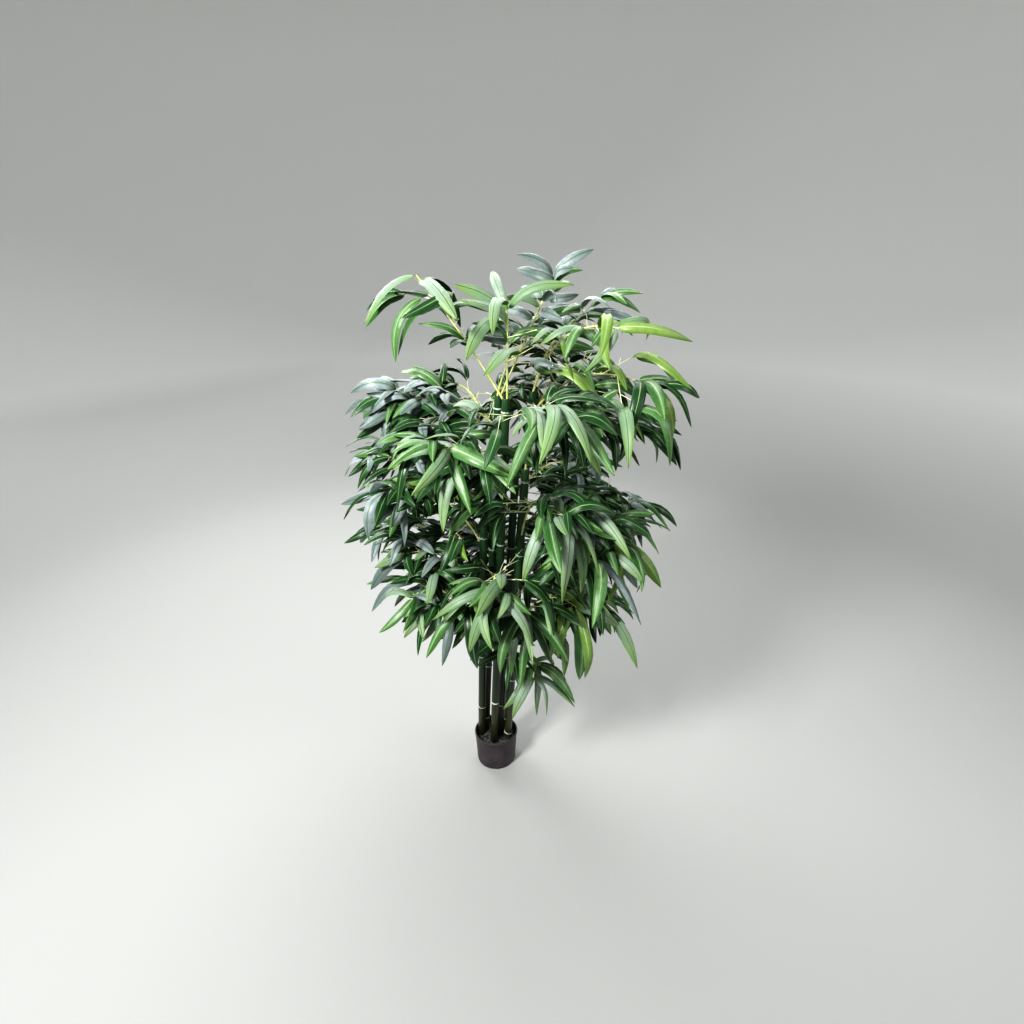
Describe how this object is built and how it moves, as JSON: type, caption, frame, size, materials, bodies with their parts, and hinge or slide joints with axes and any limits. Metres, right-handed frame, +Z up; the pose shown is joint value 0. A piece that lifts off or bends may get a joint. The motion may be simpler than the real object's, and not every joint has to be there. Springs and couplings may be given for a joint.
{
  "type": "artificial potted bamboo plant",
  "caption": "Artificial bamboo with leaning green canes and sprays of long drooping leaves, set in a small round nursery pot.",
  "frame": {"origin": "middle of the flat underside of the pot, on the floor", "axes": "+Z up along the pot's axis, +X to the plant's right as seen from its front, +Y to its back"},
  "size_m": [1.1055, 0.9625, 1.7894],
  "materials": {
    "pot": "dark brown-black nursery pot plastic, satin, with faint ribs",
    "fill": "dark gravelly set fill",
    "cane": "dark green moulded cane with pale rings, half gloss",
    "bough": "pale yellow-green coated wire stem, matte",
    "leaf_dark": "dark green printed leaf with a pale midrib, light sheen",
    "leaf_mid": "mid green printed leaf with a pale midrib, light sheen",
    "leaf_bright": "yellow-green printed leaf, light sheen",
    "leaf_silver": "grey-green printed leaf with a silvery sheen"
  },
  "bodies": {
    "root": {"bough_lower_front": "bough", "bough_middle_far_left": "bough", "bough_middle_far_right": "bough", "bough_middle_front": "bough", "bough_middle_near": "bough", "bough_middle_right": "bough", "bough_skirt_right": "bough", "bough_top_back": "bough", "bough_top_far": "bough", "bough_top_front": "bough", "bough_top_high": "bough", "bough_top_left": "bough", "bough_top_right": "bough", "bough_upper_front": "bough", "bough_upper_left": "bough", "bough_upper_side": "bough", "cane_back": "cane", "cane_front": "cane", "cane_left": "cane", "cane_mid": "cane", "cane_rear": "cane", "cane_right": "cane", "fill": "fill", "leaves_foot_front": "leaf_silver", "leaves_foot_right": "leaf_bright", "leaves_lower_back": "leaf_dark", "leaves_lower_far_left": "leaf_mid", "leaves_lower_front": "leaf_dark", "leaves_lower_left": "leaf_bright", "leaves_lower_right": "leaf_silver", "leaves_middle_back": "leaf_mid", "leaves_middle_back_left": "leaf_dark", "leaves_middle_back_right": "leaf_bright", "leaves_middle_far_left": "leaf_silver", "leaves_middle_far_right": "leaf_silver", "leaves_middle_front": "leaf_bright", "leaves_middle_left": "leaf_dark", "leaves_middle_near": "leaf_mid", "leaves_middle_right": "leaf_bright", "leaves_skirt_back_left": "leaf_dark", "leaves_skirt_back_right": "leaf_mid", "leaves_skirt_front": "leaf_mid", "leaves_skirt_left": "leaf_silver", "leaves_skirt_right": "leaf_bright", "leaves_top_back": "leaf_silver", "leaves_top_far": "leaf_mid", "leaves_top_front": "leaf_mid", "leaves_top_high": "leaf_bright", "leaves_top_left": "leaf_dark", "leaves_top_right": "leaf_dark", "leaves_upper_back": "leaf_silver", "leaves_upper_back_left": "leaf_dark", "leaves_upper_back_right": "leaf_mid", "leaves_upper_front": "leaf_dark", "leaves_upper_inner": "leaf_silver", "leaves_upper_left": "leaf_mid", "leaves_upper_near": "leaf_bright", "leaves_upper_right": "leaf_silver", "leaves_upper_side": "leaf_bright", "pot": "pot"}
  },
  "joints": []
}
